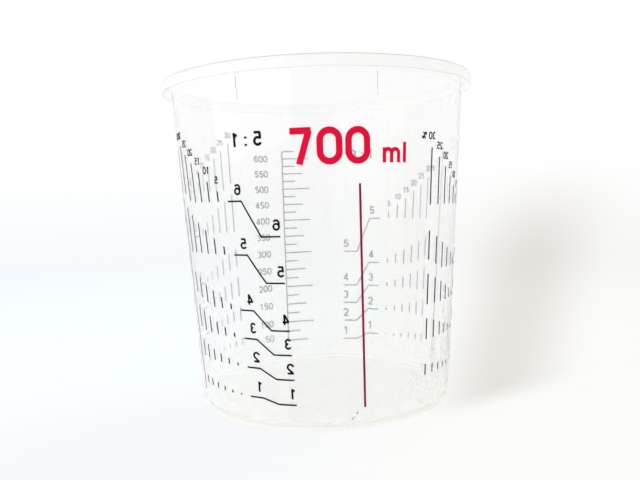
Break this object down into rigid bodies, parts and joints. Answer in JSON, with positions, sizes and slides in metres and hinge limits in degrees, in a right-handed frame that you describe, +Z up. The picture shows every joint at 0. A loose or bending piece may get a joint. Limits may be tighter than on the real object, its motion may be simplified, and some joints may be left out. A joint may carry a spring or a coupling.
{
  "type": "resin mixing cup",
  "caption": "Clear tapered plastic mixing cup with a turned-down lip, printed with a millilitre scale, mixing ratio panels and red divider lines.",
  "frame": {"origin": "centre of the foot ring, on the surface that the cup stands on", "axes": "+Z up along the cup's axis, -Y towards the side that shows the capacity mark, +X to the right of that side as it is faced"},
  "size_m": [0.11, 0.11, 0.1131],
  "materials": {
    "clear_plastic": "clear natural polypropylene, slightly milky, glossy with faint moulding haze",
    "black_ink": "screen-printed black ink, satin",
    "red_ink": "screen-printed red ink, satin"
  },
  "bodies": {
    "root": {"cup_moulding": "clear_plastic", "volume_scale_print": "black_ink", "ratio_5_to_1_print": "black_ink", "ratio_4_to_1_print": "black_ink", "ratio_3_to_1_print": "black_ink", "ratio_2_to_1_print": "black_ink", "divider_lines_print": "red_ink", "capacity_mark_print": "red_ink"}
  },
  "joints": []
}
